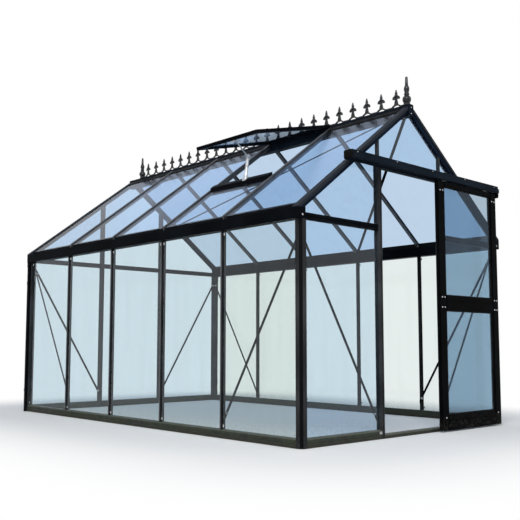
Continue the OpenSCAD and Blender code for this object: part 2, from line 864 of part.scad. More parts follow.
// The pane that fills the peak above height z0, out to x0 from the middle
module peak_pane(y0, x0, z0) {
  side_z = roof_z(x0, gable_rafter_d);
  rafter_z = roof_z(ridge_x, gable_rafter_d);
  along_y(y0, y0 + glass_t) polygon([
    [-x0, z0], [x0, z0], [x0, side_z], [ridge_x, rafter_z], [ridge_x, ridge_z],
    [-ridge_x, ridge_z], [-ridge_x, rafter_z], [-x0, side_z]
  ]);
}

module front_gable_glass() {
  y0 = front_tie_y - glass_t / 2;
  color(glass_color) {
    mirrored_x() gable_side_panes(y0, [
      [-post_x1, head_z], [-stud_x1, head_z], [-stud_x1, roof_z(stud_x1, gable_rafter_d)]
    ]);
    peak_pane(y0, stud_x0, head_z);
  }
}

module back_gable_glass() {
  y0 = back_tie_y - glass_t / 2;
  color(glass_color) {
    mirrored_x() gable_side_panes(y0, [[-post_x1, roof_z(post_x1, gable_rafter_d)]]);
    box(-post_x0, post_x0, y0, y0 + glass_t, sill_h, eave_h);
    peak_pane(y0, post_x0, eave_h + tie_h);
  }
}

// Roof vent

vent_y0 = bar_y(vent_bay + 1);
vent_y1 = bar_y(vent_bay);
opener_y = (vent_y0 + vent_y1) / 2 - opener_off;
hinge_x = ridge_x + hinge_r;
hinge_z = apex_z - hinge_drop;

// Carries a shape drawn with the hinge on the Y axis and the sash level into its open place
module open_sash() {
  translate([-hinge_x, 0, hinge_z]) rotate([0, -vent_drop, 0]) children();
}

module vent_stiles() {
  color(frame_color) open_sash() for (y0 = [vent_y0, vent_y1 - vent_bar_w])
    box(-vent_l + vent_bar_w, -vent_bar_w, y0, y0 + vent_bar_w, -vent_bar_t / 2, vent_bar_t / 2);
}

module vent_rails() {
  color(frame_color) open_sash() {
    box(-vent_l, -vent_l + vent_bar_w, vent_y0, vent_y1, -vent_bar_t / 2, vent_bar_t / 2);
    box(-vent_bar_w, -hinge_r / 2, vent_y0, vent_y1, -vent_bar_t / 2, vent_bar_t / 2);
    translate([0, vent_y1, 0]) rotate([90, 0, 0])
      cylinder(r = hinge_r, h = vent_y1 - vent_y0, $fn = round_fn);
  }
}

module vent_glass() {
  color(glass_color) open_sash()
    box(-vent_l + vent_bar_w, -vent_bar_w, vent_y0 + vent_bar_w, vent_y1 - vent_bar_w,
        -glass_t / 2, glass_t / 2);
}

// The bar between two rafters under the vent's opening, with a kerb between the rafters' caps
module vent_sill() {
  color(frame_color) {
    slope_plate(vent_sill_low, vent_sill_high, bar_cap, vent_sill_d,
                vent_y0 + bar_web / 2, vent_y1 - bar_web / 2);
    slope_plate(vent_sill_low, vent_sill_high, -kerb_h, bar_cap + glass_t,
                vent_y0 + bar_w / 2, vent_y1 - bar_w / 2);
  }
}

// A round rod between two points of the upright plane that the opener works in
module rod(x0, z0, x1, z1, r) {
  translate([x0, opener_y, z0]) rotate([0, atan2(x1 - x0, z1 - z0), 0])
    cylinder(r = r, h = norm([x1 - x0, z1 - z0]), $fn = round_fn);
}

// A foot on the bar, a cylinder that leans inward, and an arm out to a bracket under the sash
module vent_opener() {
  foot_z = roof_z(vent_sill_x, -kerb_h);
  knee_x = opener_lean - vent_sill_x;
  knee_z = foot_z + opener_rise;
  grip = vent_l - vent_bar_w - bracket_w / 2;
  grip_z = -vent_bar_t / 2;
  end_x = -hinge_x - grip * cos(vent_drop);
  end_z = hinge_z - grip * sin(vent_drop) + grip_z - bracket_t;
  color(steel_color) {
    slope_plate(vent_sill_low, vent_sill_high, -kerb_h - foot_t, -kerb_h,
                opener_y - bracket_w / 2, opener_y + bracket_w / 2);
    difference() {
      rod(-vent_sill_x, foot_z, knee_x, knee_z, opener_r);
      slope_plate(vent_sill_low, vent_sill_high, -kerb_h, bar_depth, vent_y0, vent_y1);
    }
    rod(knee_x, knee_z - opener_r, end_x, end_z, arm_r);
    open_sash() box(-grip - vent_bar_w, -grip + bracket_w / 2, opener_y - bracket_w / 2,
                    opener_y + bracket_w / 2, grip_z - bracket_t, grip_z);
  }
}

// Sliding door

door_x0 = door_open - door_w / 2;
door_x1 = door_open + door_w / 2;
door_y1 = y_front - door_gap;
door_y0 = door_y1 - door_t;
door_top = track_z - door_head_gap;
ledge_z = track_z + ledge_rise;
ledge_y = y_front - track_wall - ledge_w;
wheel_z = ledge_z + track_wall + wheel_gap + wheel_r;
wheel_y1 = y_front - track_wall - wheel_side_gap;
wheel_y0 = wheel_y1 - wheel_t;
hanger_y1 = ledge_y - hanger_gap;
hanger_y0 = hanger_y1 - hanger_t;

// A channel that is open below, with a ledge inside for the wheels. Its face has two bands:
// the lower one stands out and ends in a rounded lip.
module track_profile() {
  top_z = track_z + track_h;
  band_z = track_z + fascia_h;
  face_y = y_front - track_d;
  upper_y = face_y + fascia_step;
  translate([y_front - track_wall, track_z]) square([track_wall, track_h]);
  translate([upper_y, top_z - track_wall]) square([y_front - upper_y, track_wall]);
  translate([upper_y, band_z - track_wall]) square([track_wall, track_h - fascia_h + track_wall]);
  translate([face_y, band_z - track_wall]) square([fascia_step + track_wall, track_wall]);
  translate([face_y, track_z + lip_r]) square([track_wall, fascia_h - lip_r]);
  translate([face_y + lip_r, track_z + lip_r]) circle(lip_r, $fn = round_fn);
  translate([ledge_y, ledge_z]) square([ledge_w + track_wall, track_wall]);
}

module track_end() {
  face_y = y_front - track_d;
  translate([face_y, track_z + lip_r]) square([track_d, fascia_h - lip_r]);
  translate([face_y + fascia_step, track_z + lip_r]) square([track_d - fascia_step, track_h - lip_r]);
}

module door_track() {
  color(frame_color) {
    along_x(-track_left, track_right) track_profile();
    for (x0 = [-track_left, track_right - track_wall]) along_x(x0, x0 + track_wall) track_end();
  }
}

// A stile with a glazing bead that is set back along its inner edge, drawn from the left
module door_stile() {
  translate([0, 0, door_z]) linear_extrude(door_top - door_z) polygon([
    [door_x0, door_y0], [door_x0 + stile_w - bead_w, door_y0],
    [door_x0 + stile_w - bead_w, door_y0 + bead_step], [door_x0 + stile_w, door_y0 + bead_step],
    [door_x0 + stile_w, door_y1], [door_x0, door_y1]
  ]);
}

module door_stiles() {
  color(frame_color) {
    door_stile();
    translate([2 * door_open, 0, 0]) mirror([1, 0, 0]) door_stile();
  }
}

module door_rail(z0, z1) {
  box(door_x0 + stile_w, door_x1 - stile_w, door_y0, door_y1, z0, z1);
}

module rail_groove_cut(z0) {
  box(door_x0, door_x1, door_y0, door_y0 + rail_groove_d, z0, z0 + rail_groove);
}

module door_rails() {
  color(frame_color) {
    door_rail(door_top - top_rail_h, door_top);
    difference() {
      door_rail(mid_rail_z, mid_rail_z + mid_rail_h);
      rail_groove_cut(mid_rail_z + mid_groove_z);
    }
    difference() {
      door_rail(door_z, door_z + bottom_rail_h);
      rail_groove_cut(door_z + bottom_groove_z);
    }
  }
}

module door_pane(z0, z1) {
  y_mid = (door_y0 + door_y1) / 2;
  box(door_x0 + stile_w, door_x1 - stile_w, y_mid - glass_t / 2, y_mid + glass_t / 2, z0, z1);
}

module door_glass() {
  color(glass_color) {
    door_pane(door_z + bottom_rail_h, mid_rail_z);
    door_pane(mid_rail_z + mid_rail_h, door_top - top_rail_h);
  }
}

wheel_xs = [door_x0 + wheel_in, door_x1 - wheel_in];

module door_hangers() {
  color(steel_color) for (x = wheel_xs) {
    box(x - hanger_w / 2, x + hanger_w / 2, hanger_y0, hanger_y1, door_top, wheel_z + wheel_r / 2);
    translate([x, wheel_y0, wheel_z]) rotate([90, 0, 0])
      cylinder(r = axle_r, h = wheel_y0 - hanger_y1 + hanger_t / 2, $fn = round_fn);
  }
}

module door_wheels() {
  color(wheel_color) for (x = wheel_xs) translate([x, wheel_y1, wheel_z]) rotate([90, 0, 0])
    cylinder(r = wheel_r, h = wheel_t, $fn = round_fn);
}

sill_left();
sill_right();
sill_front();
sill_back();
threshold();
corner_posts();
side_bars_left();
side_bars_right();
gutter_left();
gutter_right();
downpipes();
rafters_left();
rafters_right();
front_gable_rafters();
back_gable_rafters();
ridge_beam();
ridge_cresting();
front_finial();
back_finial();
door_posts();
front_ties();
door_head();
back_posts();
back_ties();
side_braces();
gable_braces();
roof_braces();
side_glass_left();
side_glass_right();
roof_glass_left();
roof_glass_right();
front_gable_glass();
back_gable_glass();
vent_stiles();
vent_rails();
vent_glass();
vent_sill();
vent_opener();
door_track();
door_stiles();
door_rails();
door_glass();
door_hangers();
door_wheels();
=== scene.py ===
import math

import bmesh
import bpy
from mathutils import Matrix, Vector


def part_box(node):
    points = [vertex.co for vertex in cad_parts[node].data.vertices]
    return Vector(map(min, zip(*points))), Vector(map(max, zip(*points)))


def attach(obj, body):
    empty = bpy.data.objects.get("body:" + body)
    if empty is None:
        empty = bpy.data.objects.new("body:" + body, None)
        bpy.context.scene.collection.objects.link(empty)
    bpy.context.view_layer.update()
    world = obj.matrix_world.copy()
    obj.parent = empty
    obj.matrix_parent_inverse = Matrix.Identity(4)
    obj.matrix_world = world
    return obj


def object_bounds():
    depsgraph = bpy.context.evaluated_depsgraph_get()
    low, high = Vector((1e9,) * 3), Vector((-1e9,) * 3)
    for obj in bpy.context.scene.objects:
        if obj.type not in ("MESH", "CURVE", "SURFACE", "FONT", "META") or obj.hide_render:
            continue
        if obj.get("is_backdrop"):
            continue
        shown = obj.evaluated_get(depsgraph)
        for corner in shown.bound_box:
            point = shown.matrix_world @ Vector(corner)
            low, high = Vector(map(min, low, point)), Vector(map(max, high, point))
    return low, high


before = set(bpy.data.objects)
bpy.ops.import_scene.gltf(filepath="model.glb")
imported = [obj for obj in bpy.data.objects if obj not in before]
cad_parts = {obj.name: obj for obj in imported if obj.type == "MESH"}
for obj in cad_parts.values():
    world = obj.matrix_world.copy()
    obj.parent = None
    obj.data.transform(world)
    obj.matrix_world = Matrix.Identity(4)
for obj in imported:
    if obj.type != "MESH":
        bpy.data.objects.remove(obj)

CAD_LOW, CAD_HIGH = (list(corner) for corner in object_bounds())

# Sizes of the house in metres. X runs along the front gable, Y to the back gable.
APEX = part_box("ridge_beam")[1][2]
PITCH = math.radians(37.0)
POSTS_LOW, POSTS_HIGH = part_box("corner_posts")
HALF_W, EAVE = POSTS_HIGH[0], POSTS_HIGH[2]
FRONT, BACK = POSTS_LOW[1], POSTS_HIGH[1]
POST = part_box("sill_left")[0][1] - FRONT
SILL_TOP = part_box("sill_left")[1][2]
GABLE_POST_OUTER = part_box("door_posts")[1][0]
GLASS_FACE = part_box("side_glass_right")[1][0]

# The glazing bars of a long side, counted from the back, as the places of their middles.
BAR_COUNT, BAR_CAP = 4, 0.026
BARS_LOW, BARS_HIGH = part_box("side_bars_left")
BAY = (BARS_HIGH[1] - BARS_LOW[1] - BAR_CAP) / (BAR_COUNT - 1)
BARS = [BARS_HIGH[1] - BAR_CAP / 2 - BAY * i for i in range(BAR_COUNT)]
VENT_BARS = BARS[2:]
VENT_BAY = 3

# The long sides by the sign of X, and the gables by their place and the sign of their outward way.
SIDES = (-1, 1)
ENDS = ((FRONT, -1), (BACK, 1))


def roof_z(x):
    """Height of the roof's outer plane at a distance from the middle."""
    return APEX - abs(x) * math.tan(PITCH)


class Finish:
    """A material, with short ways to add nodes to it."""

    def __init__(self, name):
        self.material = bpy.data.materials.new(name)
        self.material.use_nodes = True
        self.tree = self.material.node_tree
        self.tree.nodes.clear()
        self.output = self.tree.nodes.new("ShaderNodeOutputMaterial")
        self.place = self.add("TexCoord").outputs["Object"]
        geometry = self.add("NewGeometry")
        self.normal = geometry.outputs["Normal"]
        self.backfacing = geometry.outputs["Backfacing"]
        axes = self.add("SeparateXYZ", {"Vector": self.place})
        self.x, self.y, self.z = (axes.outputs[a] for a in "XYZ")

    def add(self, kind, sockets=None, **settings):
        made = self.tree.nodes.new("ShaderNode" + kind)
        for name, value in settings.items():
            setattr(made, name, value)
        for name, value in (sockets or {}).items():
            self.feed(made.inputs[name], value)
        return made

    def feed(self, target, value):
        if isinstance(value, bpy.types.NodeSocket):
            self.tree.links.new(value, target)
        else:
            target.default_value = value

    def math(self, operation, first, second=0.0):
        made = self.add("Math", {0: first, 1: second}, operation=operation)
        return made.outputs[0]

    def times(self, first, second):
        return self.math("MULTIPLY", first, second)

    def stretch(self, value, low, high, to_low=0.0, to_high=1.0):
        """Value moved smoothly from the range low..high to to_low..to_high."""
        made = self.add(
            "MapRange",
            {"Value": value, 1: low, 2: high, 3: to_low, 4: to_high},
            interpolation_type="SMOOTHSTEP",
        )
        return made.outputs[0]

    def noise(self, scale, detail=3.0, squeeze=(1.0, 1.0, 1.0)):
        """Noise over the piece's own coordinates, with that many cells a metre."""
        spread = self.add("Mapping", {"Vector": self.place, "Scale": squeeze})
        made = self.add(
            "TexNoise",
            {"Vector": spread.outputs[0], "Scale": scale, "Detail": detail},
        )
        return made.outputs["Fac"]

    def blend(self, share, first, second):
        made = self.add("Mix", data_type="RGBA")
        self.feed(made.inputs[0], share)
        self.feed(made.inputs[6], first)
        self.feed(made.inputs[7], second)
        return made.outputs[2]

    def edges(self, radius):
        """(normal rounded at the edges, share of the edges, which are worn and, in the paints, also
        painted highlight).
        """
        rounded = self.add("Bevel", {"Radius": radius}, samples=4).outputs["Normal"]
        turn = self.add("VectorMath", {0: rounded, 1: self.normal}, operation="DOT_PRODUCT")
        return rounded, self.stretch(turn.outputs["Value"], 0.995, 0.8)

    def facing_up(self):
        axes = self.add("SeparateXYZ", {"Vector": self.normal})
        return self.stretch(axes.outputs["Z"], 0.35, 0.95)

    def bump(self, height, strength, distance, normal):
        made = self.add(
            "Bump",
            {"Strength": strength, "Distance": distance, "Height": height, "Normal": normal},
        )
        return made.outputs[0]

    def show(self, shader):
        self.tree.links.new(shader.outputs[0], self.output.inputs["Surface"])
        return self.material


def rgb(red, green, blue):
    return (red, green, blue, 1.0)


WHITE = rgb(1.0, 1.0, 1.0)
DUST = rgb(0.14, 0.14, 0.13)
WORN_COAT_AND_HIGHLIGHT = rgb(0.17, 0.19, 0.21)
SOIL_SPLASH = rgb(0.075, 0.072, 0.055)
CAP_SHEEN = rgb(0.032, 0.036, 0.043)
GREEN_FILM = rgb(0.056, 0.074, 0.044)
DAMP_SOIL = rgb(0.030, 0.025, 0.018)
DRY_DIRT = rgb(0.20, 0.21, 0.18)
WORN_SILL = rgb(0.20, 0.21, 0.19)
WORN_RUBBER = rgb(0.12, 0.12, 0.12)
RUBBED_STEEL = rgb(0.8, 0.8, 0.8)
GRIME = rgb(0.36, 0.38, 0.32)

# Height at which soil splashes are thickest, and the heights up to which they reach.
SPLASH_FOOT = 0.02
FRAME_SPLASH, DOOR_SPLASH = 0.22, 0.16
# Height up to which damp soil clings to the sill.
DAMP_TOP = 0.055
# Depth of a gable rafter's cap below the roof's outer plane, and half the width of its edge.
CAP_DEPTH, CAP_BLUR = 0.022, 0.0005
# Heights of the panes' feet, how high dirt gathers above them and how many times as much of it.
WALL_FOOT, DOOR_FOOT, ROOF_FOOT = 0.06, 0.12, 1.50
FOOT_BAND, FOOT_DIRT = 0.16, 3.0
# Keeps a divisor above zero.
TINY = 0.001


def painted(
    name, dark, light, gloss,
    splash_top=0.0, dust=0.06, edge_wear_and_highlight=0.16, shine=0.07, index=1.15, stripe=None,
):
    """Powder coat: mottled, dusty on top, splashed with soil up to splash_top; painted highlight on worn
    edges.
    """
    f = Finish(name)
    rounded, edge = f.edges(0.0022)
    broad = f.noise(2.6, 5.0)
    fine = f.noise(46.0, 4.0)
    grain = f.noise(620.0, 2.0)
    colour = f.blend(f.stretch(broad, 0.35, 0.7), dark, light)
    # Painted sheen in a stripe, such as on the gable rafters' outer caps.
    if stripe:
        colour = f.blend(stripe(f), colour, CAP_SHEEN)
    dusty = f.times(f.facing_up(), f.stretch(fine, 0.3, 0.75, 0.25, 1.0))
    colour = f.blend(f.times(dusty, dust), colour, DUST)
    # Pale edges: partly a worn coat, partly painted highlight.
    worn = f.times(edge, f.stretch(fine, 0.42, 0.72, 0.1, 1.0))
    colour = f.blend(f.times(worn, edge_wear_and_highlight), colour, WORN_COAT_AND_HIGHLIGHT)
    rough = f.math("ADD", f.stretch(broad, 0.3, 0.7, gloss, gloss + 0.14), f.times(dusty, 0.2))
    if splash_top > 0.0:
        low = f.times(f.stretch(f.z, splash_top, SPLASH_FOOT), f.stretch(fine, 0.46, 0.74))
        colour = f.blend(f.times(low, 0.45), colour, SOIL_SPLASH)
        rough = f.math("ADD", rough, f.times(low, 0.3))
    shader = f.add(
        "BsdfPrincipled",
        {
            "Base Color": colour,
            "Roughness": rough,
            "IOR": index,
            "Specular IOR Level": shine,
            "Normal": f.bump(grain, 0.12, 0.0006, rounded),
        },
    )
    return f.show(shader)


def roof_cap(f):
    """Share of the painted sheen on a gable rafter's outer cap, by its depth below the roof's outer
    plane.
    """
    fall = f.times(f.math("ABSOLUTE", f.x), math.tan(PITCH))
    drop = f.math("SUBTRACT", APEX, f.math("ADD", f.z, fall))
    depth = f.times(drop, math.cos(PITCH))
    return f.stretch(depth, CAP_DEPTH + CAP_BLUR, CAP_DEPTH - CAP_BLUR, 0.0, 0.75)


def dirty_sill(name):
    """The base channel: black coat under green-grey dirt, with a pale dry line along its top."""
    f = Finish(name)
    rounded, edge = f.edges(0.003)
    broad = f.noise(1.7, 6.0)
    blotch = f.noise(19.0, 5.0)
    fine = f.noise(140.0, 4.0)
    runs = f.noise(26.0, 4.0, (1.0, 1.0, 0.12))
    colour = f.blend(f.stretch(blotch, 0.35, 0.68), rgb(0.010, 0.012, 0.011), rgb(0.030, 0.034, 0.028))
    film = f.times(f.stretch(broad, 0.32, 0.62), f.stretch(runs, 0.3, 0.7, 0.35, 1.0))
    colour = f.blend(f.times(film, 0.7), colour, GREEN_FILM)
    soil = f.times(f.stretch(f.z, DAMP_TOP, 0.0), f.stretch(blotch, 0.36, 0.6))
    colour = f.blend(f.times(soil, 0.8), colour, DAMP_SOIL)
    dry = f.times(f.facing_up(), f.stretch(fine, 0.3, 0.7, 0.45, 1.0))
    colour = f.blend(f.times(dry, 0.6), colour, DRY_DIRT)
    worn = f.times(edge, f.stretch(blotch, 0.4, 0.7, 0.15, 0.8))
    colour = f.blend(f.times(worn, 0.5), colour, WORN_SILL)
    shader = f.add(
        "BsdfPrincipled",
        {
            "Base Color": colour,
            "Roughness": f.stretch(film, 0.0, 1.0, 0.5, 0.82),
            "Specular IOR Level": 0.2,
            "Normal": f.bump(fine, 0.3, 0.0012, rounded),
        },
    )
    return f.show(shader)


def metal(name, pale, dull, rough_low, squeeze):
    """Bare or plated metal with fine drawn lines and dull patches."""
    f = Finish(name)
    rounded, edge = f.edges(0.0012)
    broad = f.noise(9.0, 5.0)
    lines = f.noise(130.0, 2.0, squeeze)
    colour = f.blend(f.stretch(broad, 0.35, 0.7), pale, dull)
    colour = f.blend(f.times(edge, 0.4), colour, RUBBED_STEEL)
    shader = f.add(
        "BsdfPrincipled",
        {
            "Base Color": colour,
            "Metallic": 1.0,
            "Roughness": f.stretch(lines, 0.25, 0.75, rough_low, rough_low + 0.22),
            "Normal": f.bump(lines, 0.15, 0.0004, rounded),
        },
    )
    return f.show(shader)


def rubber(name, dark, light):
    """Matt black rubber or moulded plastic."""
    f = Finish(name)
    rounded, edge = f.edges(0.0008)
    broad = f.noise(14.0, 4.0)
    grain = f.noise(420.0, 2.0)
    colour = f.blend(f.stretch(broad, 0.3, 0.7), dark, light)
    colour = f.blend(f.times(edge, 0.3), colour, WORN_RUBBER)
    shader = f.add(
        "BsdfPrincipled",
        {
            "Base Color": colour,
            "Roughness": f.stretch(broad, 0.3, 0.7, 0.55, 0.75),
            "Specular IOR Level": 0.06,
            "Normal": f.bump(grain, 0.2, 0.0003, rounded),
        },
    )
    return f.show(shader)


def glazed(name, tint_and_painted_sky, gleam, film, foot, index=1.5, blur=0.06):
    """Thin clear glass, mirror-like at a slant, with a dusty film at its foot; any blue is painted sky
    reflection.
    """
    f = Finish(name)
    broad = f.noise(1.1, 4.0)
    runs = f.noise(10.0, 4.0, (1.0, 1.0, 0.10))
    specks = f.noise(75.0, 3.0)
    near_foot = f.times(f.stretch(f.z, foot + FOOT_BAND, foot), f.stretch(specks, 0.42, 0.72, 0.15, 1.0))
    dirt = f.times(f.stretch(runs, 0.42, 0.75), f.stretch(broad, 0.35, 0.65, 0.3, 1.0))
    dirt = f.math("ADD", f.times(dirt, film), f.times(near_foot, film * FOOT_DIRT))
    slant = f.add("Fresnel", {"IOR": index}).outputs[0]
    outside = f.math("SUBTRACT", 1.0, f.backfacing)
    share = f.math("ADD", f.times(slant, outside), f.times(dirt, outside))
    matt = f.math("DIVIDE", dirt, f.math("ADD", share, TINY))
    skin = f.add(
        "BsdfPrincipled",
        {
            "Base Color": f.blend(matt, gleam, GRIME),
            "Metallic": f.math("SUBTRACT", 1.0, matt),
            "Roughness": f.stretch(matt, 0.0, 1.0, blur, 0.6),
        },
    )
    clear = f.add("BsdfTransparent", {"Color": f.blend(outside, WHITE, tint_and_painted_sky)})
    return f.show(f.add("MixShader", {0: share, 1: clear.outputs[0], 2: skin.outputs[0]}))


FRAME_PAINT = painted(
    "frame_paint", rgb(0.0018, 0.0025, 0.0037), rgb(0.0048, 0.0062, 0.0086), 0.30, FRAME_SPLASH
)
# Darker copy of the frame paint for the door: painted shade.
DOOR_PAINT_SHADED = painted(
    "door_paint_shaded", rgb(0.0011, 0.0012, 0.0015), rgb(0.0032, 0.0036, 0.0043), 0.28, DOOR_SPLASH
)
# Navy-black for the track and the ridge: the blue is painted sky reflection.
TRACK_PAINT_SKY_SHEEN = painted("track_paint_sky_sheen", rgb(0.0060, 0.0100, 0.0160), rgb(0.0110, 0.0165, 0.0250), 0.26)
# Navy-black for the gable rafters: the blue is painted sky reflection, the caps get painted sheen.
GABLE_PAINT_SKY_SHEEN = painted(
    "gable_paint_sky_sheen", rgb(0.0050, 0.0100, 0.0200), rgb(0.0105, 0.0185, 0.0340), 0.30, stripe=roof_cap
)
# Glossy black for the cast ornaments: the blue is painted sky reflection.
CAST_PAINT_SKY_SHEEN = painted(
    "cast_paint_sky_sheen", rgb(0.0012, 0.0026, 0.0048), rgb(0.0036, 0.0066, 0.0110), 0.10,
    dust=0.02, edge_wear_and_highlight=0.06, shine=0.42, index=1.5,
)
# Much lighter copy of the frame paint for the posts: painted highlight, with more of it on the edges.
POST_PAINT_HIGHLIT = painted(
    "post_paint_highlit", rgb(0.0250, 0.0260, 0.0280), rgb(0.0540, 0.0555, 0.0585), 0.34, FRAME_SPLASH, edge_wear_and_highlight=0.3
)
# Lighter copy of the frame paint for the wall bars: painted highlight.
BAR_PAINT_HIGHLIT = painted(
    "bar_paint_highlit", rgb(0.0110, 0.0118, 0.0130), rgb(0.0240, 0.0252, 0.0275), 0.34, FRAME_SPLASH
)
# Pale grey for the bars' cover strips: painted sky reflection on black strips.
COVER_PAINT_SKY_SHEEN = painted(
    "cover_paint_sky_sheen", rgb(0.0620, 0.0650, 0.0710), rgb(0.1080, 0.1110, 0.1190), 0.32, FRAME_SPLASH,
    shine=0.4, index=1.4,
)
# Grey for the roof's rafters: painted sky reflection on the black frame.
RAFTER_PAINT_SKY_SHEEN = painted(
    "rafter_paint_sky_sheen", rgb(0.0220, 0.0230, 0.0260), rgb(0.0460, 0.0480, 0.0530), 0.30, shine=0.5, index=1.5
)
SILL_DIRT = dirty_sill("sill_dirt")
# Blue in the panes' colours, and in their mirror colours, is painted sky reflection.
WALL_GLASS = glazed("wall_glass", rgb(0.80, 0.86, 0.845), rgb(0.86, 0.93, 1.0), 0.03, WALL_FOOT)
GABLE_GLASS = glazed("gable_glass", rgb(0.72, 0.83, 0.92), rgb(0.80, 0.90, 1.0), 0.03, WALL_FOOT)
ROOF_GLASS = glazed(
    "roof_glass", rgb(0.515, 0.65, 0.81), rgb(0.92, 0.96, 1.0), 0.04, ROOF_FOOT, index=1.12, blur=0.20
)
VENT_GLASS = glazed(
    "vent_glass", rgb(0.44, 0.55, 0.68), rgb(0.36, 0.48, 0.64), 0.04, ROOF_FOOT, index=1.5, blur=0.14
)
DOOR_GLASS = glazed("door_glass", rgb(0.37, 0.475, 0.565), rgb(0.46, 0.62, 0.82), 0.03, DOOR_FOOT)
BRIGHT_STEEL = metal("bright_steel", rgb(0.66, 0.67, 0.68), rgb(0.46, 0.47, 0.48), 0.26, (1.0, 1.0, 0.2))
ZINC_STEEL = metal("zinc_steel", rgb(0.50, 0.51, 0.52), rgb(0.30, 0.31, 0.32), 0.34, (1.0, 0.3, 1.0))
WHEEL_PLASTIC = rubber("wheel_plastic", rgb(0.015, 0.015, 0.016), rgb(0.028, 0.028, 0.030))
SEAL_RUBBER = rubber("seal_rubber", rgb(0.0014, 0.0015, 0.0018), rgb(0.0036, 0.0038, 0.0044))

# Nodes that aren't named here have the plain frame paint.
FINISH_OF = {
    SILL_DIRT: ("sill_left", "sill_right", "sill_front", "sill_back", "threshold"),
    GABLE_PAINT_SKY_SHEEN: ("front_gable_rafters", "back_gable_rafters"),
    RAFTER_PAINT_SKY_SHEEN: ("rafters_left", "rafters_right"),
    CAST_PAINT_SKY_SHEEN: ("ridge_cresting", "front_finial", "back_finial"),
    DOOR_PAINT_SHADED: ("door_stiles", "door_rails", "door_head"),
    TRACK_PAINT_SKY_SHEEN: ("door_track", "ridge_beam"),
    POST_PAINT_HIGHLIT: ("corner_posts", "door_posts", "back_posts"),
    BAR_PAINT_HIGHLIT: ("side_bars_left", "side_bars_right"),
    WALL_GLASS: ("side_glass_left", "side_glass_right"),
    GABLE_GLASS: ("front_gable_glass", "back_gable_glass"),
    ROOF_GLASS: ("roof_glass_left", "roof_glass_right"),
    VENT_GLASS: ("vent_glass",),
    DOOR_GLASS: ("door_glass",),
    BRIGHT_STEEL: ("vent_opener",),
    ZINC_STEEL: ("door_hangers",),
    WHEEL_PLASTIC: ("door_wheels",),
}
NODE_FINISH = {node: finish for finish, nodes in FINISH_OF.items() for node in nodes}
for node_name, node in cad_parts.items():
    node.data.materials.clear()
    node.data.materials.append(NODE_FINISH.get(node_name, FRAME_PAINT))


class Fittings:
    """Small forms gathered into one mesh that rides a body."""

    SHARP_EDGE = math.radians(35.0)

    def __init__(self, name, body, slot, finish):
        self.name, self.body, self.slot, self.finish = name, body, slot, finish
        self.form = bmesh.new()

    def skin(self, rings, loop=False):
        """Skins a row of rings of points. An open row is capped at both ends, a loop is joined up."""
        made = [[self.form.verts.new(point) for point in ring] for ring in rings]
        pairs = list(zip(made, made[1:]))
        if loop:
            pairs.append((made[-1], made[0]))
        else:
            self.form.faces.new(made[0][::-1])
            self.form.faces.new(made[-1])
        for first, second in pairs:
            for i in range(len(first)):
                j = (i + 1) % len(first)
                self.form.faces.new((first[i], first[j], second[j], second[i]))

    def turned(self, place, axis, profile, sides=20):
        """A turned form from (radius, height, corners) steps along an axis. Corners 6 makes a hexagon."""
        turn = Vector(axis).to_track_quat("Z", "Y").to_matrix()
        rings = []
        for radius, height, corners in profile:
            ring = []
            for i in range(sides):
                angle = 2 * math.pi * i / sides
                reach = radius
                if corners:
                    part = math.pi / corners
                    reach = radius / math.cos((angle + part) % (2 * part) - part)
                spot = Vector((reach * math.cos(angle), reach * math.sin(angle), height))
                ring.append(Vector(place) + turn @ spot)
            rings.append(ring)
        self.skin(rings)

    def screw(self, place, axis, radius=0.006):
        """A domed screw with a hexagonal recess."""
        steps = (
            (1.0, -0.2, 0), (1.0, 0.22, 0), (0.88, 0.46, 0), (0.62, 0.62, 0),
            (0.40, 0.62, 6), (0.36, 0.15, 6),
        )
        self.turned(place, axis, [(radius * r, radius * h, c) for r, h, c in steps], 24)

    def bolt(self, place, axis, radius=0.007):
        """A hexagonal bolt head on a washer, with the threaded end's stub on it."""
        steps = (
            (1.55, -0.1, 0), (1.55, 0.18, 0), (1.45, 0.24, 0), (1.0, 0.26, 6), (1.0, 0.86, 6),
            (0.86, 1.0, 0), (0.52, 1.0, 0), (0.50, 1.3, 0), (0.40, 1.42, 0),
        )
        self.turned(place, axis, [(radius * r, radius * h, c) for r, h, c in steps], 24)

    def strip(self, start, end, across, profile):
        """A straight strip. The profile is in steps across it and out of the face it lies on."""
        start, end, across = Vector(start), Vector(end), Vector(across).normalized()
        out = (end - start).normalized().cross(across)
        self.skin([[spot + across * u + out * v for u, v in profile] for spot in (start, end)])

    def surround(self, corners, out, profile):
        """A mitred frame round a pane. The profile is in steps in from its edge and out of its face."""
        rings = []
        for k in range(len(corners)):
            before, corner, after = (Vector(corners[i % len(corners)]) for i in (k - 1, k, k + 1))
            inward = (before - corner).normalized() + (after - corner).normalized()
            rings.append([corner + inward * u + Vector(out) * v for u, v in profile])
        self.skin(rings, loop=True)

    def done(self):
        bmesh.ops.recalc_face_normals(self.form, faces=self.form.faces)
        mesh = bpy.data.meshes.new(self.name)
        self.form.to_mesh(mesh)
        self.form.free()
        mesh.polygons.foreach_set("use_smooth", [True] * len(mesh.polygons))
        mesh.set_sharp_from_angle(angle=self.SHARP_EDGE)
        mesh.materials.append(self.finish)
        made = bpy.data.objects.new(self.name, mesh)
        bpy.context.collection.objects.link(made)
        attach(made, self.body)


def bead(width, height, steps=6):
    """A half-round profile with that width and height."""
    arc = [math.pi * i / steps for i in range(steps + 1)]
    return [(width / 2 * math.cos(a), height * math.sin(a)) for a in arc]


def plate(width, height, shoulder, top):
    """A flat profile with bevelled sides: full width up to the shoulder, then in to the top width."""
    half = [(width / 2, 0.0), (width / 2, shoulder), (top / 2, height)]
    return [(-u, v) for u, v in half] + half[::-1]


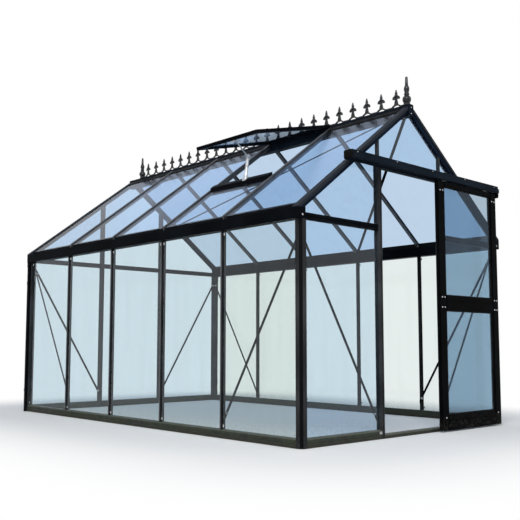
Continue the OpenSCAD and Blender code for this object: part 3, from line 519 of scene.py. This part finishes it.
def drawn_in(outline, middle, share):
    """An outline of flat points, drawn in towards a middle to a share of its size."""
    return [[m + (value - m) * share for m, value in zip(middle, point)] for point in outline]


# Cover strips along the glazing bars: their widths, their rise, and where those on the roof end.
WALL_COVER, ROOF_COVER, COVER_RISE = 0.013, 0.020, 0.0038
WALL_BAR_FACE = HALF_W - 0.003
WALL_COVER_SHIFT, WALL_COVER_GAP = 0.004, 0.004
ROOF_COVER_FOOT, ROOF_COVER_HEAD, VENT_COVER_HEAD = 1.2, 0.030, 0.12


def bar_covers():
    covers = Fittings("bar_covers", "house", "frame", COVER_PAINT_SKY_SHEEN)
    for side in SIDES:
        across = (0, -side, 0)
        for y in BARS:
            x = side * WALL_BAR_FACE
            wall_y = y + WALL_COVER_SHIFT
            foot = (x, wall_y, SILL_TOP + WALL_COVER_GAP)
            head = (x, wall_y, EAVE - WALL_COVER_GAP)
            covers.strip(foot, head, across, bead(WALL_COVER, COVER_RISE))
            under_vent = side < 0 and y in VENT_BARS
            head_x = side * (VENT_COVER_HEAD if under_vent else ROOF_COVER_HEAD)
            foot_x = side * ROOF_COVER_FOOT
            foot = (foot_x, y, roof_z(foot_x))
            head = (head_x, y, roof_z(head_x))
            covers.strip(foot, head, across, bead(ROOF_COVER, COVER_RISE))
    covers.done()


# Strips that close the roof's panes at the gutters and beside the ridge.
# Their outlines are steps of (distance from the middle, depth below the roof's outer plane).
EAVE_SEAL = ((1.1868, 0.0398), (1.1868, 0.0150), (1.1848, 0.0124), (1.1776, 0.0124), (1.1762, 0.0398))
RIDGE_SEAL = ((0.0262, 0.0078), (0.0262, 0.0006), (0.0780, 0.0006), (0.0840, 0.0030), (0.0860, 0.0078))
SEAL_END_GAP, SEAL_BAR_GAP = 0.001, BAR_CAP / 2 + 0.0005


def roof_seals():
    seals = Fittings("roof_seals", "house", "frame", SEAL_RUBBER)
    backs = [BACK - POST - SEAL_END_GAP] + [y - SEAL_BAR_GAP for y in BARS]
    fronts = [y + SEAL_BAR_GAP for y in BARS] + [FRONT + POST + SEAL_END_GAP]
    for side in SIDES:
        for bay, ends in enumerate(zip(fronts, backs)):
            for outline in (EAVE_SEAL, RIDGE_SEAL):
                if outline is RIDGE_SEAL and side < 0 and bay == VENT_BAY:
                    continue
                section = [(side * x, roof_z(x) - depth / math.cos(PITCH)) for x, depth in outline]
                seals.skin([[Vector((x, y, z)) for x, z in section] for y in ends])
    seals.done()


# Cover strips that fill the bevelled outer edges of the corner posts; their near-black is painted shade
# in the bevel.
BEVEL_MIDDLE = 0.0125
TRIM_FOOT, TRIM_HEAD = 0.004, EAVE - 0.003
TRIM = [
    (0.0115, -0.001), (0.0115, 0.0012), (0.0098, 0.0026),
    (-0.0098, 0.0026), (-0.0115, 0.0012), (-0.0115, -0.001),
]


def corner_trims():
    trims = Fittings("corner_trims", "house", "frame", SEAL_RUBBER)
    upright = Vector((0, 0, 1))
    for side in SIDES:
        for y, way in ENDS:
            face = Vector((side, way, 0)).normalized()
            spot = Vector((side * (HALF_W - BEVEL_MIDDLE), y - way * BEVEL_MIDDLE, 0))
            trims.strip(spot + upright * TRIM_FOOT, spot + upright * TRIM_HEAD, face.cross(upright), TRIM)
    trims.done()


# Rubber seals round the panes of the door, in front and behind.
DOOR_LOW, DOOR_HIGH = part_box("door_stiles")
PANE_LOW, PANE_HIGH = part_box("door_glass")
MID_RAIL = (0.930, 1.044)
SEAL = [(0.0, 0.0), (0.009, 0.0), (0.0085, 0.0022), (0.006, 0.0042), (0.0025, 0.005), (0.0, 0.005)]


def door_seals():
    seals = Fittings("door_seals", "door", "wheel", SEAL_RUBBER)
    x0, x1 = PANE_LOW[0], PANE_HIGH[0]
    for z0, z1 in ((PANE_LOW[2], MID_RAIL[0]), (MID_RAIL[1], PANE_HIGH[2])):
        for y, way in ((PANE_LOW[1], -1), (PANE_HIGH[1], 1)):
            corners = [(x0, y, z0), (x1, y, z0), (x1, y, z1), (x0, y, z1)]
            seals.surround(corners, (0, way, 0), SEAL)
    seals.done()


# Screws where the door's rails meet its stiles, as (in from the stile's outer edge, height).
DOOR_SCREWS = (
    (0.022, 1.870), (0.058, 1.872),
    (0.022, 1.031), (0.058, 1.031),
    (0.022, 0.953), (0.058, 0.953),
    (0.046, 0.108),
)


def door_screws():
    screws = Fittings("door_screws", "door", "steel", BRIGHT_STEEL)
    for column, z in DOOR_SCREWS:
        for x in (DOOR_LOW[0] + column, DOOR_HIGH[0] - column):
            screws.screw((x, DOOR_LOW[1], z), (0, -1, 0))
            screws.screw((x, DOOR_HIGH[1], z), (0, 1, 0))
    screws.done()


# Screws in the gutters' ends, the ridge's end plates and the track.
TRACK_LOW, TRACK_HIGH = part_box("door_track")
GUTTER_SCREW_IN, GUTTER_SCREW_RISE, GUTTER_SCREW_R = 0.018, 0.026, 0.0065
RIDGE_PLATE_T, RIDGE_SCREW_DROPS, RIDGE_SCREW_R = 0.006, (0.026, 0.074), 0.005
TRACK_SCREWS, TRACK_SCREW_END, TRACK_SCREW_DROP, TRACK_SCREW_R = 5, 0.06, 0.012, 0.004
TRACK_STEP_Y = TRACK_LOW[1] + 0.009


def house_screws():
    screws = Fittings("house_screws", "house", "steel", BRIGHT_STEEL)
    for y, way in ENDS:
        for side in SIDES:
            x = side * (HALF_W - GUTTER_SCREW_IN)
            screws.screw((x, y, EAVE + GUTTER_SCREW_RISE), (0, way, 0), GUTTER_SCREW_R)
        for drop in RIDGE_SCREW_DROPS:
            screws.screw((0.0, y + way * RIDGE_PLATE_T, APEX - drop), (0, way, 0), RIDGE_SCREW_R)
    run = TRACK_HIGH[0] - TRACK_LOW[0] - 2 * TRACK_SCREW_END
    for i in range(TRACK_SCREWS):
        x = TRACK_LOW[0] + TRACK_SCREW_END + i * run / (TRACK_SCREWS - 1)
        screws.screw((x, TRACK_STEP_Y, TRACK_HIGH[2] - TRACK_SCREW_DROP), (0, -1, 0), TRACK_SCREW_R)
    screws.done()


# Bolts that hold the ends of the wind braces, on both faces of each brace.
BRACE_T = 0.004
BRACE_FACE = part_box("side_braces")[1][0]
BOLT_IN = 0.020
BOLT_HEAD_Z, BOLT_FOOT_Z = EAVE - 0.111, SILL_TOP + 0.111


def brace_bolts():
    bolts = Fittings("brace_bolts", "house", "steel", ZINC_STEEL)
    for side in SIDES:
        for corner_y, foot_y, way in ((FRONT + POST, BARS[-1], 1), (BACK - POST, BARS[0], -1)):
            for x, out in ((BRACE_FACE, 1), (BRACE_FACE - BRACE_T, -1)):
                axis = (side * out, 0, 0)
                bolts.bolt((side * x, corner_y + way * BOLT_IN, BOLT_HEAD_Z), axis)
                bolts.bolt((side * x, foot_y - way * BOLT_IN, BOLT_FOOT_Z), axis)
        for y, way in ENDS:
            for depth, out in ((POST - BRACE_T, 1), (POST, -1)):
                axis = (0, way * out, 0)
                brace_y = y - way * depth
                bolts.bolt((side * (HALF_W - POST - BOLT_IN), brace_y, BOLT_HEAD_Z), axis)
                bolts.bolt((side * (GABLE_POST_OUTER + BOLT_IN), brace_y, BOLT_FOOT_Z), axis)
    bolts.done()


# Moulded caps on the track's ends. The right one hangs lower, as the door's stop.
STOP_HANG = 0.038
# Steps of a cap as (out of the track's end, share of its full outline).
CAP_STEPS = ((-0.004, 1.0), (0.003, 1.0), (0.0065, 0.94), (0.008, 0.84))


def cap_outline(hang):
    """Outline of an end cap in Y and Z: the track's own with rounded corners, and the stop below."""
    y0, y1, z0, z1 = TRACK_LOW[1], TRACK_HIGH[1], TRACK_LOW[2], TRACK_HIGH[2]
    step_y, step_z = TRACK_STEP_Y, z1 - 0.024
    outline = [(y0, step_z), (y0, z0 + 0.008), (y0 + 0.002, z0 + 0.003), (y0 + 0.007, z0)]
    if hang:
        outline += [(y0 + 0.007, z0 - hang * 0.7), (y0 + 0.012, z0 - hang)]
        outline += [(y0 + 0.040, z0 - hang), (y0 + 0.054, z0)]
    outline += [(y1 - 0.008, z0), (y1 - 0.003, z0 + 0.003), (y1, z0 + 0.010)]
    outline += [(y1, z1 - 0.010), (y1 - 0.006, z1), (step_y + 0.008, z1)]
    outline += [(step_y + 0.003, z1 - 0.002), (step_y, z1 - 0.007), (step_y, step_z)]
    return outline


def track_end_caps():
    caps = Fittings("track_end_caps", "house", "wheel", SEAL_RUBBER)
    middle = ((TRACK_LOW[1] + TRACK_HIGH[1]) / 2, (TRACK_LOW[2] + TRACK_HIGH[2]) / 2)
    for end_x, way, hang in ((TRACK_LOW[0], -1, 0.0), (TRACK_HIGH[0], 1, STOP_HANG)):
        rings = []
        for out, share in CAP_STEPS:
            x = end_x + way * out
            rings.append([(x, y, z) for y, z in drawn_in(cap_outline(hang), middle, share)])
        caps.skin(rings)
    caps.done()


# Spring clips at the foot and the head of the panes, on both sides of each bar.
CLIP = plate(0.011, 0.0032, 0.0012, 0.006)
CLIP_L, CLIP_STEP = 0.018, 0.022
CLIP_HEIGHTS = (SILL_TOP + 0.016, EAVE - 0.034)


def glazing_clips():
    clips = Fittings("glazing_clips", "house", "steel", BRIGHT_STEEL)
    front_stop, back_stop = FRONT + POST, BACK - POST
    for side in SIDES:
        x = side * GLASS_FACE
        for y in [front_stop] + BARS + [back_stop]:
            for spot in (y - CLIP_STEP, y + CLIP_STEP):
                if front_stop < spot < back_stop:
                    for z in CLIP_HEIGHTS:
                        clips.strip((x, spot, z), (x, spot, z + CLIP_L), (0, -side, 0), CLIP)
    clips.done()


# Plates with two screws at the feet of the gable posts.
PLATE_T = 0.003
PLATE = plate(0.028, PLATE_T, 0.002, 0.025)
PLATE_STEP, PLATE_FOOT, PLATE_HEAD = 0.017, 0.034, 0.052
PLATE_SCREW_STEP, PLATE_SCREW_R = 0.006, 0.004


def foot_brackets():
    brackets = Fittings("foot_brackets", "house", "steel", ZINC_STEEL)
    mid_z = (PLATE_FOOT + PLATE_HEAD) / 2
    for side in SIDES:
        for y, way in ENDS:
            x = side * (GABLE_POST_OUTER + PLATE_STEP)
            brackets.strip((x, y, PLATE_FOOT), (x, y, PLATE_HEAD), (way, 0, 0), PLATE)
            for screw_x in (x - PLATE_SCREW_STEP, x + PLATE_SCREW_STEP):
                brackets.screw((screw_x, y + way * PLATE_T, mid_z), (0, way, 0), PLATE_SCREW_R)
    brackets.done()


# Collars and pins of the vent's opener, and the knuckles of its hinge.
OPENER_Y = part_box("vent_opener")[0][1] + 0.021
OPENER_FOOT_X = (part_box("vent_sill")[0][0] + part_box("vent_sill")[1][0]) / 2
OPENER_KNEE_X = OPENER_FOOT_X + 0.028
OPENER_FOOT_RISE, OPENER_KNEE_RISE = 0.0225, 0.200
# Collars as (share of the way from the foot to the knee, radius).
COLLARS = ((0.10, 0.017), (0.52, 0.0145), (0.90, 0.0165))
KNEE_PIN_OUT, KNEE_PIN_DROP, KNEE_PIN_R = 0.012, 0.012, 0.0055
HINGE_X, HINGE_DROP, HINGE_FROM_BAR = -0.033, 0.010, 0.09
KNUCKLE = ((0.0070, -0.032, 0), (0.0084, -0.030, 0), (0.0084, 0.030, 0), (0.0070, 0.032, 0))


def opener_collars():
    gear = Fittings("opener_collars", "house", "steel", ZINC_STEEL)
    foot = Vector((OPENER_FOOT_X, OPENER_Y, roof_z(OPENER_FOOT_X) + OPENER_FOOT_RISE))
    knee = Vector((OPENER_KNEE_X, OPENER_Y, foot.z + OPENER_KNEE_RISE))
    lean = knee - foot
    for share, radius in COLLARS:
        rim = radius * 0.8
        collar = ((rim, -0.009, 0), (radius, -0.006, 0), (radius, 0.006, 0), (rim, 0.009, 0))
        gear.turned(foot + lean * share, lean, collar, 28)
    for way in SIDES:
        pin = knee + Vector((0.0, way * KNEE_PIN_OUT, -KNEE_PIN_DROP))
        gear.bolt(pin, (0, way, 0), KNEE_PIN_R)
    back_bar, front_bar = VENT_BARS
    for y in (front_bar + HINGE_FROM_BAR, back_bar - HINGE_FROM_BAR):
        gear.turned((HINGE_X, y, APEX - HINGE_DROP), (0, 1, 0), KNUCKLE)
    gear.done()


# Sockets that join the downpipes to the gutters.
SOCKET_OUTER, SOCKET_FRONT, SOCKET_BACK = HALF_W + 0.0245, BACK - 0.0445, BACK - 0.0035
SOCKET_BEVEL = 0.006
# Steps of a socket as (height, share of its full outline).
SOCKET_STEPS = ((EAVE - 0.052, 0.93), (EAVE - 0.048, 1.0), (EAVE, 1.0))


def pipe_sockets():
    sockets = Fittings("pipe_sockets", "house", "frame", FRAME_PAINT)
    inner, outer, y0, y1, cut = HALF_W, SOCKET_OUTER, SOCKET_FRONT, SOCKET_BACK, SOCKET_BEVEL
    outline = [(inner, y0), (inner, y1), (outer - cut, y1)]
    outline += [(outer, y1 - cut), (outer, y0 + cut), (outer - cut, y0)]
    middle = ((inner + outer) / 2, (y0 + y1) / 2)
    for side in SIDES:
        rings = []
        for z, share in SOCKET_STEPS:
            rings.append([(side * x, y, z) for x, y in drawn_in(outline, middle, share)])
        sockets.skin(rings)
    sockets.done()


bar_covers()
roof_seals()
corner_trims()
door_seals()
door_screws()
house_screws()
brace_bolts()
track_end_caps()
glazing_clips()
foot_brackets()
opener_collars()
pipe_sockets()

# The studio: a pale floor that whitens away from the house, soft lamps and a white surround.
FLOOR_REACH, FLOOR_SINK = 60.0, 0.001
FLOOR_FADE = (0.25, 1.9)
FLOOR_PALE = rgb(0.93, 0.93, 0.925)
SHOWN_RAYS = ("Is Camera Ray", "Is Transmission Ray", "Is Glossy Ray")
WORLD_SHOWN, WORLD_FILL = 1.0, 0.42


def floor_finish():
    f = Finish("studio_floor")
    low, high = Vector(CAD_LOW), Vector(CAD_HIGH)
    centre, half = (low + high) / 2, (high - low) / 2

    def past(along, middle, reach):
        off = f.math("ABSOLUTE", f.math("SUBTRACT", along, middle))
        return f.math("MAXIMUM", f.math("SUBTRACT", off, reach), 0.0)

    past_x, past_y = past(f.x, centre.x, half.x), past(f.y, centre.y, half.y)
    away = f.math("SQRT", f.math("ADD", f.math("POWER", past_x, 2.0), f.math("POWER", past_y, 2.0)))
    path = f.add("LightPath")
    camera_ray, through_ray, glossy_ray = (path.outputs[ray] for ray in SHOWN_RAYS)
    shown = f.math("MAXIMUM", f.math("MAXIMUM", camera_ray, through_ray), glossy_ray)
    share = f.times(f.stretch(away, *FLOOR_FADE), shown)
    matt = f.add("BsdfDiffuse", {"Color": FLOOR_PALE})
    white = f.add("Emission", {"Color": WHITE, "Strength": 1.0})
    return f.show(f.add("MixShader", {0: share, 1: matt.outputs[0], 2: white.outputs[0]}))


def studio_floor():
    mesh = bpy.data.meshes.new("studio_floor")
    form = bmesh.new()
    bmesh.ops.create_circle(form, cap_ends=True, radius=FLOOR_REACH, segments=96)
    form.to_mesh(mesh)
    form.free()
    mesh.materials.append(floor_finish())
    floor = bpy.data.objects.new("studio_floor", mesh)
    bpy.context.collection.objects.link(floor)
    floor.location.z = -FLOOR_SINK
    floor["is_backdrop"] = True


def studio_world():
    """White to the rays that show it, and a plain fill to the rest."""
    world = bpy.data.worlds.new("studio_white")
    bpy.context.scene.world = world
    world.use_nodes = True
    tree = world.node_tree
    tree.nodes.clear()
    output = tree.nodes.new("ShaderNodeOutputWorld")
    background = tree.nodes.new("ShaderNodeBackground")
    path = tree.nodes.new("ShaderNodeLightPath")
    shown = path.outputs[SHOWN_RAYS[0]]
    for ray in SHOWN_RAYS[1:]:
        either = tree.nodes.new("ShaderNodeMath")
        either.operation = "MAXIMUM"
        tree.links.new(shown, either.inputs[0])
        tree.links.new(path.outputs[ray], either.inputs[1])
        shown = either.outputs[0]
    strength = tree.nodes.new("ShaderNodeMapRange")
    strength.inputs["To Min"].default_value = WORLD_FILL
    strength.inputs["To Max"].default_value = WORLD_SHOWN
    tree.links.new(shown, strength.inputs["Value"])
    tree.links.new(strength.outputs[0], background.inputs["Strength"])
    background.inputs["Color"].default_value = WHITE
    tree.links.new(background.outputs[0], output.inputs["Surface"])


LAMP_AIM = Vector((0.0, 0.0, 1.2))


def softbox(name, place, size, power, colour):
    lamp = bpy.data.lights.new(name, "AREA")
    lamp.shape = "RECTANGLE"
    lamp.size, lamp.size_y = size
    lamp.energy = power
    lamp.color = colour
    holder = bpy.data.objects.new(name, lamp)
    holder.location = place
    holder.rotation_euler = (LAMP_AIM - Vector(place)).to_track_quat("-Z", "Y").to_euler()
    holder.visible_camera = False
    bpy.context.collection.objects.link(holder)


studio_floor()
studio_world()
softbox("key_softbox", (-6.5, -6.0, 8.0), (5.0, 5.0), 620.0, (0.96, 0.98, 1.0))
softbox("fill_softbox", (5.0, -8.5, 7.5), (5.0, 5.0), 110.0, (0.86, 0.93, 1.0))
softbox("sky_softbox", (5.4, 8.0, 11.8), (10.0, 9.0), 150.0, (0.20, 0.46, 1.0))

# The camera stands where the photograph was taken from.
CAMERA_PLACE = Vector((-4.8130, -5.3649, 0.6643))
CAMERA_AZIMUTH, CAMERA_ELEVATION, CAMERA_ROLL = (math.radians(a) for a in (-42.509, -5.421, 0.059))
CAMERA_LENS, CAMERA_SENSOR = 53.49, 36.0
CAMERA_SHIFT = (0.00885, 0.02135)


def photo_camera():
    level = math.cos(CAMERA_ELEVATION)
    back = Vector(
        (math.sin(CAMERA_AZIMUTH) * level, -math.cos(CAMERA_AZIMUTH) * level, math.sin(CAMERA_ELEVATION))
    )
    right = Vector((math.cos(CAMERA_AZIMUTH), math.sin(CAMERA_AZIMUTH), 0.0))
    up = back.cross(right)
    rolled_right = right * math.cos(CAMERA_ROLL) + up * math.sin(CAMERA_ROLL)
    rolled_up = up * math.cos(CAMERA_ROLL) - right * math.sin(CAMERA_ROLL)
    lens = bpy.data.cameras.new("photo_camera")
    lens.lens = CAMERA_LENS
    lens.sensor_width = CAMERA_SENSOR
    lens.shift_x, lens.shift_y = CAMERA_SHIFT
    camera = bpy.data.objects.new("photo_camera", lens)
    turn = Matrix((rolled_right, rolled_up, back)).transposed().to_4x4()
    camera.matrix_world = Matrix.Translation(CAMERA_PLACE) @ turn
    bpy.context.collection.objects.link(camera)
    bpy.context.scene.camera = camera


photo_camera()
bpy.context.scene.view_settings.view_transform = "Standard"

bpy.context.view_layer.update()
